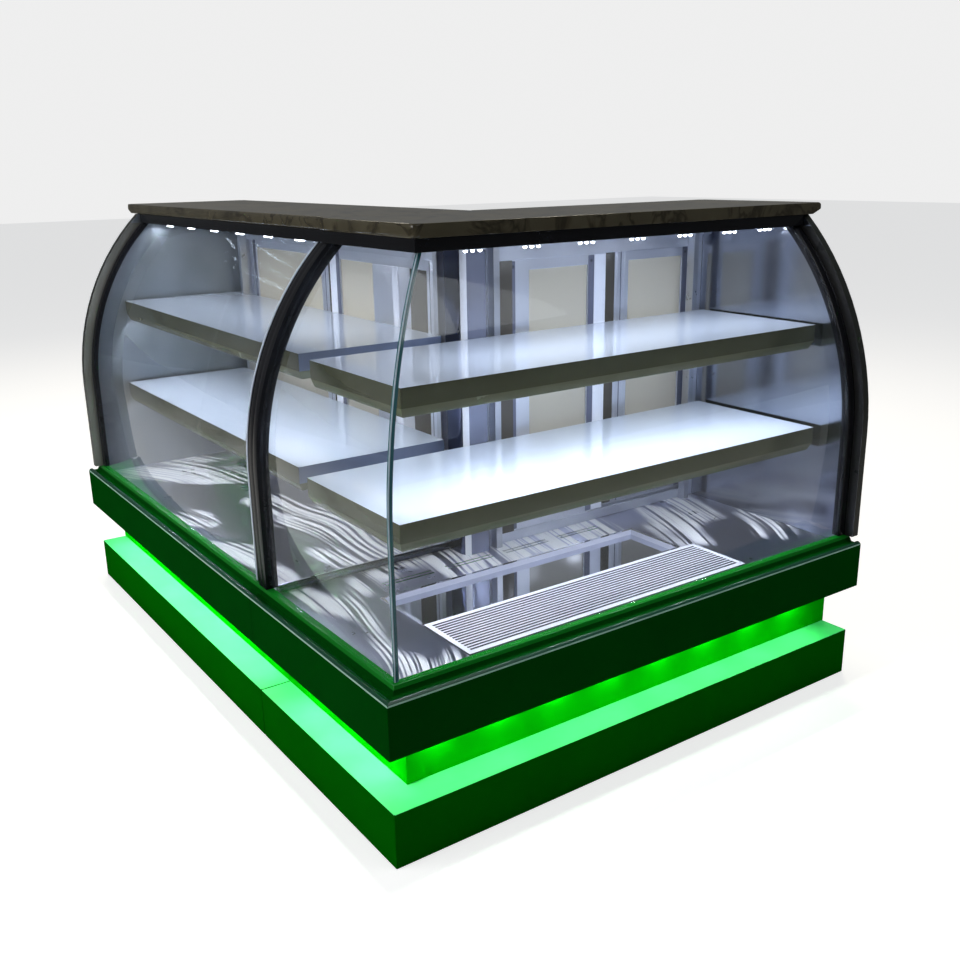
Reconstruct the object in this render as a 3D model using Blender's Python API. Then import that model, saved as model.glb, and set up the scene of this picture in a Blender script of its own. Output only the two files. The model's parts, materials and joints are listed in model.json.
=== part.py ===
"""Corner bakery display case: two refrigerated counter modules that meet in an L.

The corner frame has its origin on the floor under the outer corner of the bent
glass. +X runs along the front module, +Y along the wing, +Z is up, and the staff
stand inside the L. The whole case hangs on one empty, which puts the middle of
its footprint at the world origin.
"""
import math

import bmesh
import bpy
from mathutils import Matrix, Vector

GAP = 0.0003                    # clearance between pieces that touch

# Heights above the floor
CASE_HEIGHT = 1.300
WORKTOP_THICK = 0.030
WORKTOP_BOTTOM = CASE_HEIGHT - WORKTOP_THICK
HEADER_HEIGHT = 0.0295
HEADER_BOTTOM = WORKTOP_BOTTOM - HEADER_HEIGHT
PLINTH_HEIGHT = 0.132
APRON_BOTTOM = 0.265
APRON_TOP = 0.3955
LIP_TOP = 0.4082
DECK_TOP = 0.3835
DECK_THICK = 0.002
SHELF_TOPS = {"lower": 0.697, "upper": 0.981}

# Plan: distances inwards from the outer face of the upright part of the glass
FRONT_END = 1.452               # inner face of the right end panel
WING_END = 2.032                # inner face of the left end panel
SEAM = 0.634                    # joint between the two modules, along +Y
WORKTOP_EDGE = 0.206
WORKTOP_EDGE_WING = 0.220
WORKTOP_BACK = 0.655
WORKTOP_RIGHT = 1.523
WORKTOP_LEFT = 2.160
APRON_FACE = -0.0466
APRON_BACK = 0.0120
APRON_RIGHT = 1.470
APRON_LEFT = 2.068
PLINTH_FACE = -0.0363
BASE_FACE = 0.0428
REAR_IN = 0.577
REAR_OUT = 0.632
END_PANEL_THICK = 0.0235
RIM_STEP = 0.030                # end panel's rim stands proud of the glass

# Bent glass
GLASS_THICK = 0.008
BEND_START = 0.700              # upright below this height, bent above it
BEND_RADIUS = 0.755
BEND_STEPS = 14
STRIP_WIDTH = 0.0255

# Rear sliding doors
DOOR_DEPTH = 0.016
TRACKS = {"inner": 0.584, "outer": 0.6065}
GROOVE_DEPTH = 0.018
OPENING_BOTTOM = 0.412
OPENING_TOP = 1.170
GROOVE_BOTTOM = 0.400
GROOVE_TOP = 1.184
JAMB = 0.1005
GROOVE_REACH = 0.008
STILES = {"inner": (0.0695, 0.0660), "outer": (0.1330, 0.0372)}
RAIL_BOTTOM = 0.055
RAIL_TOP = 0.039
PANE_THICK = 0.005
DOOR_OVERLAP = 0.025
DOOR_DIVISION = 0.469

# Shelves
SHELF_LIP = 0.044
SHELF_RETURN = 0.022
SHELF_FOLD = 0.010
SHELF_SKIN = 0.004
SHELF_FRONT_EDGE = {"lower": 0.115, "upper": 0.135}
SHELF_LEFT_END = {"lower": 0.092, "upper": 0.118}
SHELF_BACK_EDGE = 0.550

GREEN = (0.004, 0.075, 0.010)
BLACK = (0.008, 0.008, 0.010)
STEEL = (0.62, 0.63, 0.65)
ALUMINIUM = (0.70, 0.72, 0.76)
GLASS = (0.80, 0.92, 0.90)
WHITE = (0.85, 0.88, 0.92)
STONE = (0.16, 0.13, 0.10)

for old in list(bpy.data.objects):
    bpy.data.objects.remove(old, do_unlink=True)

case = bpy.data.objects.new("case_frame", None)
case.location = (-(APRON_FACE + WORKTOP_RIGHT) / 2, -(APRON_FACE + WORKTOP_LEFT) / 2, 0)
bpy.context.scene.collection.objects.link(case)


# ---------------------------------------------------------------- shaping tools
def paint(obj, colour, rough, metal=0.0, alpha=1.0):
    """Give the object a material of its own."""
    mat = bpy.data.materials.new(obj.name)
    mat.use_nodes = True
    shader = mat.node_tree.nodes["Principled BSDF"]
    shader.inputs["Base Color"].default_value = (*colour, 1)
    shader.inputs["Roughness"].default_value = rough
    shader.inputs["Metallic"].default_value = metal
    shader.inputs["Alpha"].default_value = alpha
    obj.data.materials.append(mat)


def place(name, bm, at=(0, 0, 0)):
    """Turn a bmesh in the corner frame into an object whose origin is at the given point."""
    bmesh.ops.recalc_face_normals(bm, faces=bm.faces)
    bmesh.ops.translate(bm, verts=bm.verts, vec=-Vector(at))
    mesh = bpy.data.meshes.new(name)
    bm.to_mesh(mesh)
    bm.free()
    obj = bpy.data.objects.new(name, mesh)
    bpy.context.scene.collection.objects.link(obj)
    obj.parent = case
    obj.location = at
    return obj


def loft(rings, bm=None):
    """Skin closed rings of equal count one after another and cap both ends."""
    bm = bm or bmesh.new()
    loops = [[bm.verts.new(p) for p in ring] for ring in rings]
    count = len(rings[0])
    for low, high in zip(loops, loops[1:]):
        for i in range(count):
            j = (i + 1) % count
            bm.faces.new((low[i], low[j], high[j], high[i]))
    bm.faces.new(loops[0])
    bm.faces.new(reversed(loops[-1]))
    return bm


def prism(outline, along, start, stop, bm=None):
    """Extrude an outline. Along 'x' it holds (y, z), along 'y' (x, z), along 'z' (x, y)."""
    spots = {
        "x": lambda p, t: (t, p[0], p[1]),
        "y": lambda p, t: (p[0], t, p[1]),
        "z": lambda p, t: (p[0], p[1], t),
    }[along]
    return loft([[spots(p, t) for p in outline] for t in (start, stop)], bm)


def block(low, high, bm=None):
    """Add a box between two corners."""
    (x0, y0, z0), (x1, y1, z1) = low, high
    return prism([(x0, y0), (x1, y0), (x1, y1), (x0, y1)], "z", z0, z1, bm)


def turned(profile, centre, axis, steps=24):
    """Turn a profile of (radius, height) about an axis through the centre."""
    turn = Vector((0, 0, 1)).rotation_difference(Vector(axis)).to_matrix().to_4x4()
    rings = []
    for radius, height in profile:
        angles = [2 * math.pi * i / steps for i in range(steps)]
        ring = [Vector((radius * math.cos(a), radius * math.sin(a), height)) for a in angles]
        rings.append([Vector(centre) + turn @ p for p in ring])
    return loft(rings)


def boolean(obj, tool_bm, operation):
    """Cut away or join on a shape given in the corner frame, and keep only the result."""
    bmesh.ops.recalc_face_normals(tool_bm, faces=tool_bm.faces)
    tool = place("tool", tool_bm)
    modifier = obj.modifiers.new(operation.lower(), "BOOLEAN")
    modifier.operation = operation
    modifier.solver = "EXACT"
    modifier.object = tool
    bpy.context.view_layer.update()
    result = bpy.data.meshes.new_from_object(obj.evaluated_get(bpy.context.evaluated_depsgraph_get()))
    obj.modifiers.clear()
    obj.data = result
    bpy.data.objects.remove(tool, do_unlink=True)


def swapped(bm):
    """Mirror a front-module shape over the diagonal of the corner, onto the wing."""
    for vert in bm.verts:
        vert.co.x, vert.co.y = vert.co.y, vert.co.x
    return bm


def sweep(section, x_end=None, y_start=None, y_end=None):
    """Run a section of (inward, z) along the front, round the corner and up the side."""
    rings = []
    if x_end is not None:
        rings.append([(x_end, d, z) for d, z in section])
        rings.append([(d, d, z) for d, z in section])
    if y_start is not None:
        rings.append([(d, y_start, z) for d, z in section])
    rings.append([(d, y_end, z) for d, z in section])
    return loft(rings)


def bullnose(bm, width, segments):
    """Round over the slab's level edges, apart from those at the joint with its neighbour."""
    def free(edge):
        a, b = (v.co for v in edge.verts)
        level = abs(a.z - b.z) < 1e-6
        at_joint = all(abs(p.y - SEAM) < 0.002 for p in (a, b))
        at_step = all(abs(p.x - WORKTOP_BACK) < 0.002 and p.y < WORKTOP_BACK + 0.01 for p in (a, b))
        return level and not at_joint and not at_step
    edges = [e for e in bm.edges if free(e)]
    bmesh.ops.bevel(bm, geom=edges, offset=width, segments=segments, affect="EDGES", profile=0.6)
    return bm


def undercut(bm, tip, outward, width):
    """Saw the lower corner off one end of a slab, from a tip on its end face inwards."""
    normal = (outward * (tip.z - WORKTOP_BOTTOM) - Vector((0, 0, width))).normalized()
    cut = bmesh.ops.bisect_plane(bm, geom=bm.verts[:] + bm.edges[:] + bm.faces[:], plane_co=tip,
                                 plane_no=normal, clear_outer=True)
    rim = [e for e in cut["geom_cut"] if isinstance(e, bmesh.types.BMEdge)]
    bmesh.ops.contextual_create(bm, geom=rim)
    bmesh.ops.remove_doubles(bm, verts=bm.verts, dist=1e-5)
    bmesh.ops.recalc_face_normals(bm, faces=bm.faces)
    return bm


def rounded(corners, steps=5):
    """Outline through (x, y, radius) corners, each turned on an arc of its radius."""
    outline = []
    for i, (x, y, radius) in enumerate(corners):
        here = Vector((x, y))
        before = (Vector(corners[i - 1][:2]) - here).normalized()
        after = (Vector(corners[(i + 1) % len(corners)][:2]) - here).normalized()
        if radius == 0:
            outline.append((x, y))
            continue
        start, stop = here + before * radius, here + after * radius
        for k in range(steps + 1):
            t = k / steps
            point = start * (1 - t) ** 2 + here * 2 * t * (1 - t) + stop * t ** 2
            outline.append(tuple(point))
    return outline


# ---------------------------------------------------------------- bent glass line
def glass_line(outward, bottom, top):
    """Points (inward, z) of a line that runs parallel to the glass's outer face."""
    radius = BEND_RADIUS + outward
    last = math.asin((top - BEND_START) / radius)
    points = [(-outward, bottom)]
    for i in range(BEND_STEPS + 1):
        angle = last * i / BEND_STEPS
        points.append((BEND_RADIUS - radius * math.cos(angle), BEND_START + radius * math.sin(angle)))
    return points


def glass_section(outward, inward, bottom, top):
    """Closed section between two lines parallel to the glass."""
    return glass_line(outward, bottom, top) + glass_line(-inward, bottom, top)[::-1]


def mitre(bm, keep_front):
    """Cut a swept pane on the diagonal of the corner, leaving half a gap."""
    side = 1 if keep_front else -1
    normal = Vector((side, -side, 0)).normalized()
    point = normal * GAP
    geom = bm.verts[:] + bm.edges[:] + bm.faces[:]
    cut = bmesh.ops.bisect_plane(bm, geom=geom, plane_co=point, plane_no=normal, clear_inner=True)
    edges = [e for e in cut["geom_cut"] if isinstance(e, bmesh.types.BMEdge)]
    bmesh.ops.contextual_create(bm, geom=edges)
    return bm


glass_bottom = LIP_TOP + GAP
glass_top = HEADER_BOTTOM - GAP
pane_section = glass_section(0, GLASS_THICK, glass_bottom, glass_top)
pane_right = FRONT_END - STRIP_WIDTH - GAP
rib_front_start = SEAM - 0.0225
rib_wing_stop = SEAM + 0.0225

for name, bm in (
    ("glass_front", mitre(prism(pane_section, "x", -0.05, pane_right), True)),
    ("glass_side", mitre(prism(pane_section, "y", -0.05, rib_front_start - GAP), False)),
    ("glass_wing", prism(pane_section, "y", rib_wing_stop + GAP, WING_END - STRIP_WIDTH - GAP)),
):
    paint(place(name, bm), GLASS, 0.02, alpha=0.25)

rib_section = glass_section(0.014, 0.030, glass_bottom, glass_top)
for name, start, stop in (
    ("seam_rib_front", rib_front_start, SEAM - GAP),
    ("seam_rib_wing", SEAM + GAP, rib_wing_stop),
):
    paint(place(name, prism(rib_section, "y", start, stop)), BLACK, 0.25)

strip_section = glass_section(0.003, 0.020, glass_bottom, glass_top)
right_strip = prism(strip_section, "x", FRONT_END - STRIP_WIDTH, FRONT_END - GAP)
left_strip = prism(strip_section, "y", WING_END - STRIP_WIDTH, WING_END - GAP)
paint(place("glass_strip_right", right_strip), BLACK, 0.25)
paint(place("glass_strip_left", left_strip), BLACK, 0.25)


# ---------------------------------------------------------------- end panels
def end_panel(start):
    """Polished plate whose front edge follows the glass and stands proud of it."""
    front = glass_line(RIM_STEP, glass_bottom, WORKTOP_BOTTOM - GAP)
    outline = [(APRON_BACK + GAP, APRON_BOTTOM), (APRON_BACK + GAP, glass_bottom)] + front
    outline += [(REAR_OUT, WORKTOP_BOTTOM - GAP), (REAR_OUT, APRON_BOTTOM)]
    return prism(outline, "x", start, start + END_PANEL_THICK)


paint(place("end_panel_right", end_panel(FRONT_END + GAP)), STEEL, 0.2, 1.0)
paint(place("end_panel_left", swapped(end_panel(WING_END + GAP))), STEEL, 0.2, 1.0)

# ---------------------------------------------------------------- worktop
corner_outline = rounded([
    (WORKTOP_EDGE, WORKTOP_EDGE, 0.018), (WORKTOP_RIGHT, WORKTOP_EDGE, 0.015),
    (WORKTOP_RIGHT, WORKTOP_BACK, 0.015), (WORKTOP_BACK + 0.001, WORKTOP_BACK, 0),
    (WORKTOP_BACK + 0.001, SEAM - GAP, 0), (WORKTOP_EDGE, SEAM - GAP, 0),
])
wing_outline = rounded([
    (WORKTOP_EDGE_WING, SEAM + GAP, 0), (WORKTOP_BACK, SEAM + GAP, 0),
    (WORKTOP_BACK, WORKTOP_LEFT, 0.015), (WORKTOP_EDGE_WING, WORKTOP_LEFT, 0.015),
])
END_TIP = WORKTOP_BOTTOM + 0.016
END_UNDERCUT = 0.040
for name, outline, tip, outward in (
    ("worktop_corner", corner_outline, Vector((WORKTOP_RIGHT, 0.43, END_TIP)), Vector((1, 0, 0))),
    ("worktop_wing", wing_outline, Vector((0.43, WORKTOP_LEFT, END_TIP)), Vector((0, 1, 0))),
):
    slab = bullnose(prism(outline, "z", WORKTOP_BOTTOM, CASE_HEIGHT), 0.009, 3)
    paint(place(name, undercut(slab, tip, outward, END_UNDERCUT)), STONE, 0.15)

# ---------------------------------------------------------------- header and its lights
HEADER_BACK = 0.285
LIGHT_RAIL_DEPTH = 0.025
LIGHT_RAIL_BOTTOM = 1.245


def band(near, far, low, high):
    """Rectangular section of (inward, z)."""
    return [(near, low), (far, low), (far, high), (near, high)]


header_top = WORKTOP_BOTTOM - GAP
header_front = band(WORKTOP_EDGE + 0.006, HEADER_BACK, HEADER_BOTTOM, header_top)
header_wing = band(WORKTOP_EDGE_WING + 0.002, HEADER_BACK, HEADER_BOTTOM, header_top)
rail = band(HEADER_BACK + GAP, HEADER_BACK + LIGHT_RAIL_DEPTH, LIGHT_RAIL_BOTTOM, header_top)
panel_right = FRONT_END - GAP
panel_left = WING_END - GAP
for name, bm, colour in (
    ("header_front", sweep(header_front, x_end=panel_right, y_end=SEAM - GAP), BLACK),
    ("header_wing", sweep(header_wing, y_start=SEAM + GAP, y_end=panel_left), BLACK),
    ("light_rail_front", prism(rail, "x", 0.312, panel_right), ALUMINIUM),
    ("light_rail_wing", prism(rail, "y", 0.680, panel_left), ALUMINIUM),
):
    paint(place(name, bm), colour, 0.2)

# ---------------------------------------------------------------- apron and its lights
apron_section = [
    (APRON_FACE, APRON_BOTTOM), (APRON_FACE, APRON_TOP - 0.006), (APRON_FACE + 0.006, APRON_TOP),
    (-0.034, APRON_TOP), (-0.028, APRON_TOP - 0.0055), (-0.016, APRON_TOP - 0.0055),
    (-0.010, APRON_TOP + 0.004), (-0.007, LIP_TOP), (APRON_BACK, LIP_TOP), (APRON_BACK, APRON_BOTTOM),
]
apron_front = sweep(apron_section, x_end=APRON_RIGHT, y_end=SEAM - GAP)
apron_wing = sweep(apron_section, y_start=SEAM + GAP, y_end=APRON_LEFT)
paint(place("apron_front", apron_front), GREEN, 0.15)
paint(place("apron_wing", apron_wing), GREEN, 0.15)

strip = band(APRON_BACK + GAP, APRON_BACK + 0.016, 0.268, 0.280)
strip_front = sweep(strip, x_end=1.440, y_end=SEAM - 0.010)
strip_wing = sweep(strip, y_start=SEAM + 0.010, y_end=WING_END - 0.012)
paint(place("apron_light_front", strip_front), WHITE, 0.4)
paint(place("apron_light_wing", strip_wing), WHITE, 0.4)

# ---------------------------------------------------------------- plinth and base cabinets
WALL = 0.003
PLINTH_WALL = 0.018
base_bottom = PLINTH_HEIGHT + GAP
base_top = DECK_TOP - DECK_THICK - GAP
FLANGE = 0.006
VENT_LOW, VENT_HIGH = 0.170, 0.350


def plinth(x_end, y_start, y_end):
    """Painted box, open underneath."""
    bm = block((PLINTH_FACE, y_start, 0), (x_end, y_end, PLINTH_HEIGHT))
    inner_low = (PLINTH_FACE + PLINTH_WALL, y_start + PLINTH_WALL, -0.01)
    inner_high = (x_end - PLINTH_WALL, y_end - PLINTH_WALL, PLINTH_HEIGHT - PLINTH_WALL)
    return bm, block(inner_low, inner_high)


for name, shell_and_hollow in (
    ("plinth_front", plinth(FRONT_END, PLINTH_FACE, SEAM - 0.001)),
    ("plinth_wing", plinth(REAR_OUT, SEAM + 0.001, WING_END)),
):
    shell, hollow = shell_and_hollow
    obj = place(name, shell)
    boolean(obj, hollow, "DIFFERENCE")
    paint(obj, GREEN, 0.3)


def base_cabinet(name, low, high, flange_low, vent):
    """Sheet-metal tub that carries the deck, with a rear opening behind the louvres."""
    (x0, y0), (x1, y1) = low, high
    obj = place(name, block((x0, y0, base_bottom), (x1, y1, base_top)))
    boolean(obj, block((*flange_low, base_top - FLANGE), (x1, y1, base_top)), "UNION")
    inside = block((x0 + WALL, y0 + WALL, base_bottom + WALL), (x1 - WALL, y1 - WALL, base_top + 0.01))
    boolean(obj, inside, "DIFFERENCE")
    boolean(obj, vent, "DIFFERENCE")
    paint(obj, GREEN, 0.35)


front_vent = block((0.72, REAR_OUT - 0.02, VENT_LOW), (1.06, REAR_OUT + 0.01, VENT_HIGH))
wing_vent = block((REAR_OUT - 0.02, 1.17, VENT_LOW), (REAR_OUT + 0.01, 1.93, VENT_HIGH))
base_cabinet("base_front", (BASE_FACE, BASE_FACE), (FRONT_END, REAR_OUT),
             (APRON_BACK + GAP, APRON_BACK + GAP), front_vent)
base_cabinet("base_wing", (BASE_FACE, SEAM + 0.0005), (REAR_OUT, WING_END),
             (APRON_BACK + GAP, SEAM + 0.0005), wing_vent)


def louvres(length_axis, start, stop):
    """Rear service panel with a row of air slots."""
    near, far = REAR_OUT + GAP, REAR_OUT + 0.0023
    bm = block((start, near, VENT_LOW - 0.015), (stop, far, VENT_HIGH + 0.015))
    slots = bmesh.new()
    for row in range(9):
        low = VENT_LOW + 0.006 + row * 0.020
        block((start + 0.035, near - 0.01, low), (stop - 0.035, far + 0.01, low + 0.007), slots)
    if length_axis == "y":
        swapped(bm)
        swapped(slots)
    return bm, slots


for name, axis, start, stop in (("louvre_front", "x", 0.70, 1.08), ("louvre_wing", "y", 1.15, 1.95)):
    plate, slots = louvres(axis, start, stop)
    obj = place(name, plate)
    boolean(obj, slots, "DIFFERENCE")
    paint(obj, STEEL, 0.35, 1.0)

# ---------------------------------------------------------------- deck
deck_low, deck_high = DECK_TOP - DECK_THICK, DECK_TOP
GRILLE = (0.219, 0.051, 1.108, 0.241)
PAN = (0.219, 0.244, 1.066, 0.446)
SEAT = 0.007                    # how far the grille and pan rest on the deck
deck = place("deck_front", block((APRON_BACK + GAP, APRON_BACK + GAP, deck_low),
                                 (FRONT_END - GAP, SEAM - 0.0005, deck_high)))
openings = bmesh.new()
for x0, y0, x1, y1 in (GRILLE, PAN):
    block((x0 + SEAT, y0 + SEAT, deck_low - 0.01), (x1 - SEAT, y1 - SEAT, deck_high + 0.01), openings)
for start in (0.272, 0.465, 0.658, 0.851):
    for row in (0.508, 0.524):
        block((start, row, deck_low - 0.01), (start + 0.150, row + 0.007, deck_high + 0.01), openings)
boolean(deck, openings, "DIFFERENCE")
paint(deck, STEEL, 0.2, 1.0)
deck_wing = block((APRON_BACK + GAP, SEAM + 0.0005, deck_low), (REAR_OUT, WING_END - GAP, deck_high))
paint(place("deck_wing", deck_wing), STEEL, 0.2, 1.0)

x0, y0, x1, y1 = PAN
pan = place("deck_pan", block((x0, y0, deck_high + GAP), (x1, y1, deck_high + 0.0015)))
sink_low, sink_high = SEAT + GAP, deck_high + 0.001
boolean(pan, block((x0 + sink_low, y0 + sink_low, 0.368), (x1 - sink_low, y1 - sink_low, sink_high)), "UNION")
hollow_edge = sink_low + 0.0015
boolean(pan, block((x0 + hollow_edge, y0 + hollow_edge, 0.370),
                   (x1 - hollow_edge, y1 - hollow_edge, deck_high + 0.01)), "DIFFERENCE")
paint(pan, STEEL, 0.08, 1.0)

x0, y0, x1, y1 = GRILLE
GRILLE_BARS = 14
grille = place("return_grille", block((x0, y0, deck_high + GAP), (x1, y1, deck_high + 0.0045)))
slots = bmesh.new()
pitch = (y1 - y0 - 2 * 0.012) / GRILLE_BARS
for i in range(GRILLE_BARS):
    low = y0 + 0.012 + i * pitch + pitch * 0.3
    block((x0 + 0.014, low, deck_high - 0.01), (x1 - 0.014, low + pitch * 0.55, deck_high + 0.02), slots)
boolean(grille, slots, "DIFFERENCE")
paint(grille, ALUMINIUM, 0.35, 1.0)

BAR_RADIUS = 0.011
bar_start, bar_stop = 0.0305, 0.5525
bar = turned([(BAR_RADIUS, 0), (BAR_RADIUS, bar_stop - bar_start)],
             (bar_start, SEAM, DECK_TOP + BAR_RADIUS + GAP), (1, 0, 0), 20)
paint(place("seam_bar", bar), STEEL, 0.12, 1.0)

# ---------------------------------------------------------------- corner post
POST_NEAR = 0.553
post_outline = rounded([(POST_NEAR, POST_NEAR, 0.030), (0.6335, POST_NEAR, 0.004),
                        (0.6335, 0.6330, 0), (POST_NEAR, 0.6330, 0.004)])
post = prism(post_outline, "z", DECK_TOP + GAP, WORKTOP_BOTTOM - GAP)
paint(place("corner_post", post), STEEL, 0.12, 1.0)


# ---------------------------------------------------------------- rear frames and doors
def ring(low, high, border, near, far):
    """Rectangular frame in the (x, z) plane, with left, bottom, right and top borders."""
    (x0, z0), (x1, z1) = low, high
    left, bottom, right, top = border
    outer = [(x0, z0), (x1, z0), (x1, z1), (x0, z1)]
    inner = [(x0 + left, z0 + bottom), (x1 - right, z0 + bottom),
             (x1 - right, z1 - top), (x0 + left, z1 - top)]
    bm = bmesh.new()
    verts = [[bm.verts.new((x, y, z)) for x, z in loop] for y in (near, far) for loop in (outer, inner)]
    outer_near, inner_near, outer_far, inner_far = verts
    for i in range(4):
        j = (i + 1) % 4
        bm.faces.new((outer_near[i], outer_near[j], inner_near[j], inner_near[i]))
        bm.faces.new((outer_far[i], inner_far[i], inner_far[j], outer_far[j]))
        bm.faces.new((outer_near[i], outer_far[i], outer_far[j], outer_near[j]))
        bm.faces.new((inner_near[i], inner_near[j], inner_far[j], inner_far[i]))
    return bm


def rear_wall(module, start, stop, along_wing):
    """Aluminium frame with two door tracks, and its two sliding doors."""
    turn = swapped if along_wing else (lambda bm: bm)
    right_jamb = 0.024 if not along_wing else 0.042
    frame_low, frame_high = DECK_TOP + GAP, WORKTOP_BOTTOM - GAP
    border = (JAMB, OPENING_BOTTOM - frame_low, right_jamb, frame_high - OPENING_TOP)
    frame = place("rear_frame_" + module,
                  turn(ring((start, frame_low), (stop, frame_high), border, REAR_IN, REAR_OUT)))
    groove_start = start + JAMB - GROOVE_REACH
    groove_stop = stop - right_jamb + GROOVE_REACH
    for near in TRACKS.values():
        groove = block((groove_start, near - 0.001, GROOVE_BOTTOM),
                       (groove_stop, near - 0.001 + GROOVE_DEPTH, GROOVE_TOP))
        boolean(frame, turn(groove), "DIFFERENCE")
    paint(frame, ALUMINIUM, 0.35, 1.0)

    middle = groove_start + DOOR_DIVISION * (groove_stop - groove_start)
    spans = {
        "inner": (groove_start + 0.0005, middle + DOOR_OVERLAP / 2),
        "outer": (middle - DOOR_OVERLAP / 2, groove_stop - 0.0005),
    }
    for track, (left, right) in spans.items():
        near = TRACKS[track]
        low, high = GROOVE_BOTTOM + 0.0005, GROOVE_TOP - 0.004
        name = "door_" + module + "_" + track
        left_stile, right_stile = STILES[track]
        border = (left_stile, RAIL_BOTTOM, right_stile, RAIL_TOP)
        sash = ring((left, low), (right, high), border, near, near + DOOR_DEPTH)
        paint(place(name, turn(sash)), ALUMINIUM, 0.3, 1.0)
        middle_depth = near + DOOR_DEPTH / 2
        pane = block((left + left_stile + GAP, middle_depth - PANE_THICK / 2, low + RAIL_BOTTOM + GAP),
                     (right - right_stile - GAP, middle_depth + PANE_THICK / 2, high - RAIL_TOP - GAP))
        paint(place(name + "_pane", turn(pane)), GLASS, 0.05, alpha=0.4)


rear_wall("front", SEAM + 0.0005, panel_right, False)
rear_wall("wing", SEAM + 0.0005, panel_left, True)


# ---------------------------------------------------------------- shelves and supports
def shelf(low, high, top):
    """Folded tray: flat top, upright lip and a return that slants in, open at the back."""
    (x0, y0), (x1, y1) = low, high

    def level(z, inset):
        return [(x0 + inset, y0 + inset, z), (x1 - inset, y0 + inset, z),
                (x1 - inset, y1, z), (x0 + inset, y1, z)]
    fold = top - SHELF_LIP
    body = loft([level(top, 0), level(fold, 0), level(fold - SHELF_RETURN, SHELF_FOLD)])
    edge = SHELF_FOLD + 0.002
    hollow = block((x0 + edge, y0 + edge, fold - SHELF_RETURN - 0.01), (x1 - edge, y1 + 0.01, top - SHELF_SKIN))
    return body, hollow


def support(near, far, start):
    """Upright bolted to the rear frame, with an arm under each shelf."""
    outline = [(far, DECK_TOP + GAP)]
    outline.append((near, DECK_TOP + GAP))
    for top in sorted(SHELF_TOPS.values()):
        arm_high = top - SHELF_SKIN - GAP
        arm_low = arm_high - 0.028
        outline += [(near, arm_low - 0.030), (0.200, arm_low + 0.012), (0.200, arm_high), (near, arm_high)]
    outline += [(near, HEADER_BOTTOM), (far, HEADER_BOTTOM)]
    return prism(outline, "x", start, start + 0.020)


for level, top in SHELF_TOPS.items():
    for module, span, turn in (
        ("front", (SHELF_LEFT_END[level], 1.436), lambda bm: bm),
        ("wing", (0.645, 2.016), swapped),
    ):
        edge = SHELF_FRONT_EDGE[level]
        body, hollow = shelf((span[0], edge), (span[1], SHELF_BACK_EDGE), top)
        obj = place("shelf_" + module + "_" + level, turn(body))
        boolean(obj, turn(hollow), "DIFFERENCE")
        paint(obj, WHITE, 0.15)

for name, start, turn in (
    ("shelf_support_front_left", 0.655, lambda bm: bm),
    ("shelf_support_front_right", 1.390, lambda bm: bm),
    ("shelf_support_wing_right", 0.660, swapped),
    ("shelf_support_wing_left", 1.970, swapped),
):
    paint(place(name, turn(support(SHELF_BACK_EDGE + 0.0005, REAR_IN - GAP, start))), STEEL, 0.3, 1.0)

# ---------------------------------------------------------------- refrigeration
FLOOR = base_bottom + WALL + GAP


def fins(x0, x1, y0, y1, z0, z1, count):
    """Coil block drawn as a comb of upright plates on a tube plate."""
    step = (x1 - x0) / count
    outline = [(x0, y1), (x0, y0)]
    for i in range(count):
        left = x0 + i * step
        outline += [(left + step * 0.5, y0), (left + step * 0.5, y1 - 0.02)]
        outline += [(left + step, y1 - 0.02), (left + step, y0)] if i < count - 1 else []
    outline += [(x1 - step * 0.5, y1)]
    return prism(outline, "z", z0, z1)


def fan(prefix, x, y, z, radius, half_width, half_height):
    """Shroud with motor and cross bar, and a bladed rotor in front of it on a +Y axis."""
    shroud = place(prefix + "_shroud", block((x - half_width, y, z - half_height),
                                             (x + half_width, y + 0.004, z + half_height)))
    boolean(shroud, turned([(radius + 0.006, -0.01), (radius + 0.006, 0.02)], (x, y, z), (0, 1, 0), 28),
            "DIFFERENCE")
    boolean(shroud, block((x - half_width + 0.002, y + 0.0005, z - 0.010),
                          (x + half_width - 0.002, y + 0.0035, z + 0.010)), "UNION")
    boolean(shroud, turned([(0.026, 0), (0.026, 0.040)], (x, y + 0.001, z), (0, 1, 0), 20), "UNION")
    paint(shroud, BLACK, 0.5)
    hub_near = y - 0.022
    rotor = place(prefix, turned([(0.022, 0), (0.024, 0.004), (0.024, 0.020)], (x, hub_near, z), (0, 1, 0), 20),
                  (x, y, z))
    for i in range(5):
        blade = block((0.015, hub_near + 0.0085, -0.020), (radius, hub_near + 0.0105, 0.020))
        pitch_turn = Matrix.Rotation(math.radians(24), 4, "X")
        middle = Vector((0, hub_near + 0.0095, 0))
        bmesh.ops.translate(blade, verts=blade.verts, vec=-middle)
        bmesh.ops.transform(blade, matrix=pitch_turn, verts=blade.verts)
        bmesh.ops.transform(blade, matrix=Matrix.Rotation(2 * math.pi * i / 5, 4, "Y"), verts=blade.verts)
        bmesh.ops.translate(blade, verts=blade.verts, vec=middle + Vector((x, 0, z)))
        boolean(rotor, blade, "UNION")
    paint(rotor, STEEL, 0.4, 0.6)


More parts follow.
